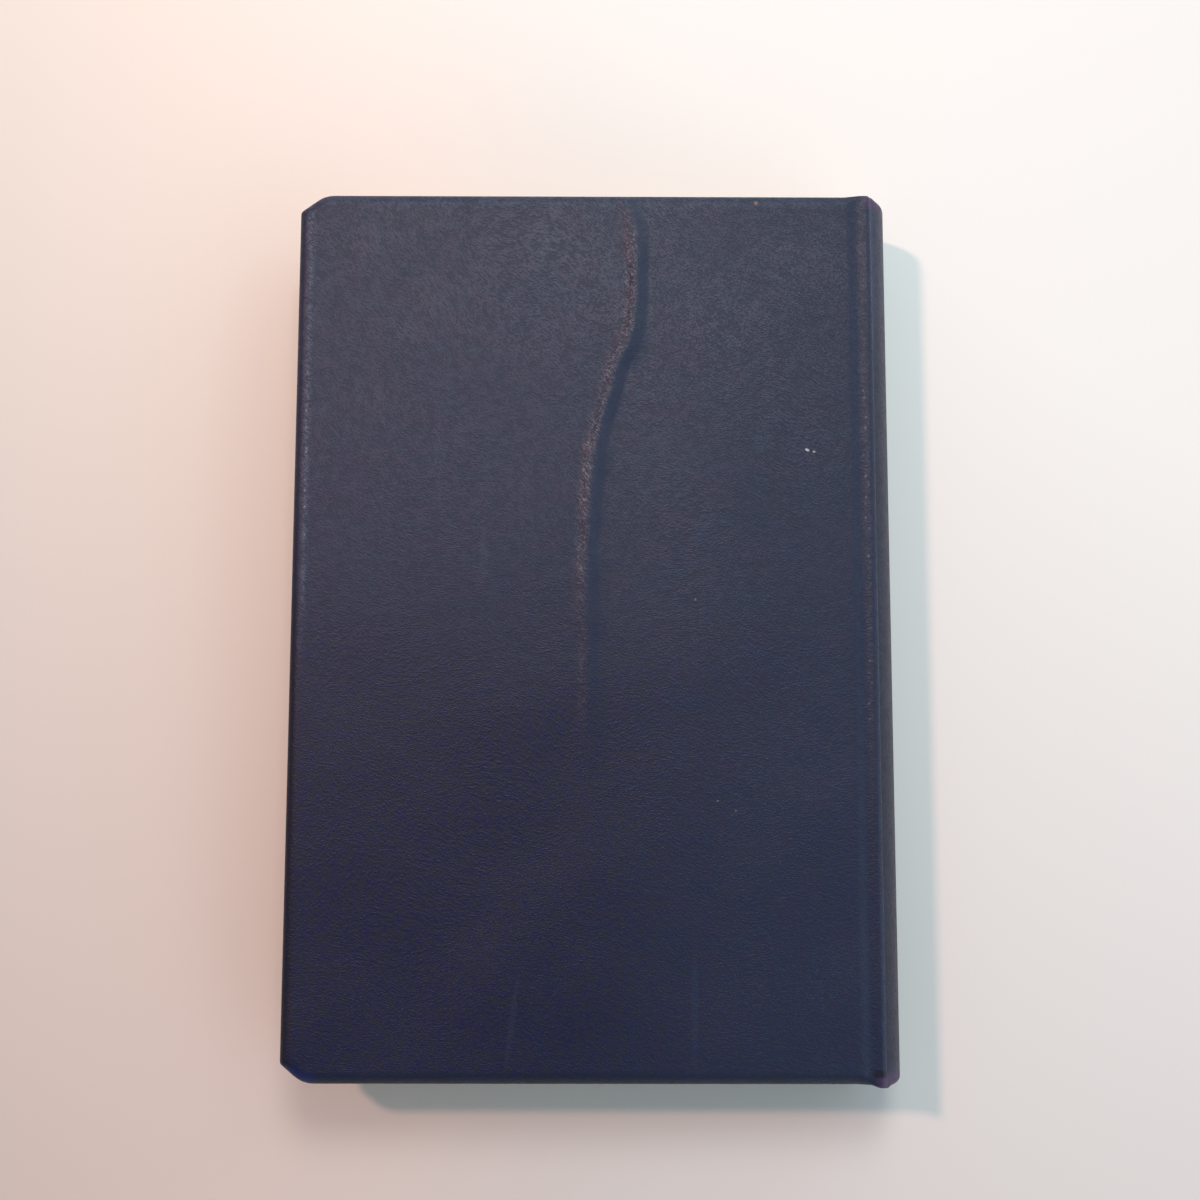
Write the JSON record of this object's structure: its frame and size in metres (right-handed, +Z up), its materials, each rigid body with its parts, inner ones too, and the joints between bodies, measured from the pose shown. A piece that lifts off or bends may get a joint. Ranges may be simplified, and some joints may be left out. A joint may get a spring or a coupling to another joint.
{
  "type": "hardback book",
  "caption": "Closed cloth-covered hardback book lying on its front cover, with hinged covers, rounded spine, grooved joints and a raised wrinkle in the cloth.",
  "frame": {"origin": "middle of the book's outline, on the surface that the front cover lies on", "axes": "+Y from tail to head, +X from fore-edge to spine, +Z up through the closed book, from the front cover to the back cover"},
  "size_m": [0.1313, 0.1932, 0.0252],
  "materials": {
    "book_cloth": "dark blue-black bookcloth with a short leather-like grain, rubbed at the edges",
    "leaves": "trimmed edges of aged cream paper",
    "endpaper": "plain uncoated cream paper",
    "lining_paper": "brown kraft paper",
    "card": "grey card",
    "board": "dense grey-brown millboard",
    "gauze": "open cotton gauze, sized with glue",
    "band_thread": "wound cotton thread"
  },
  "bodies": {
    "book_block": {"text_block": "leaves", "front_flyleaf": "endpaper", "back_flyleaf": "endpaper", "spine_mull": "gauze", "spine_liner": "lining_paper", "headband": "band_thread", "tailband": "band_thread", "spine_inlay": "card", "spine_cloth": "book_cloth"},
    "back_cover": {"back_board": "board", "back_cloth": "book_cloth", "back_mull_flange": "gauze", "back_pastedown": "endpaper"},
    "front_cover": {"front_board": "board", "front_cloth": "book_cloth", "front_mull_flange": "gauze", "front_pastedown": "endpaper"}
  },
  "joints": [
    {"name": "back_cover_hinge", "type": "hinge", "parent": "book_block", "child": "back_cover", "pos_m": [0.05975, 0, 0.0231], "axis": [0, 1, 0], "range_deg": [0, 179]},
    {"name": "front_cover_hinge", "type": "hinge", "parent": "book_block", "child": "front_cover", "pos_m": [0.05975, 0, 0.0013], "axis": [0, -1, 0], "range_deg": [0, 179]}
  ]
}
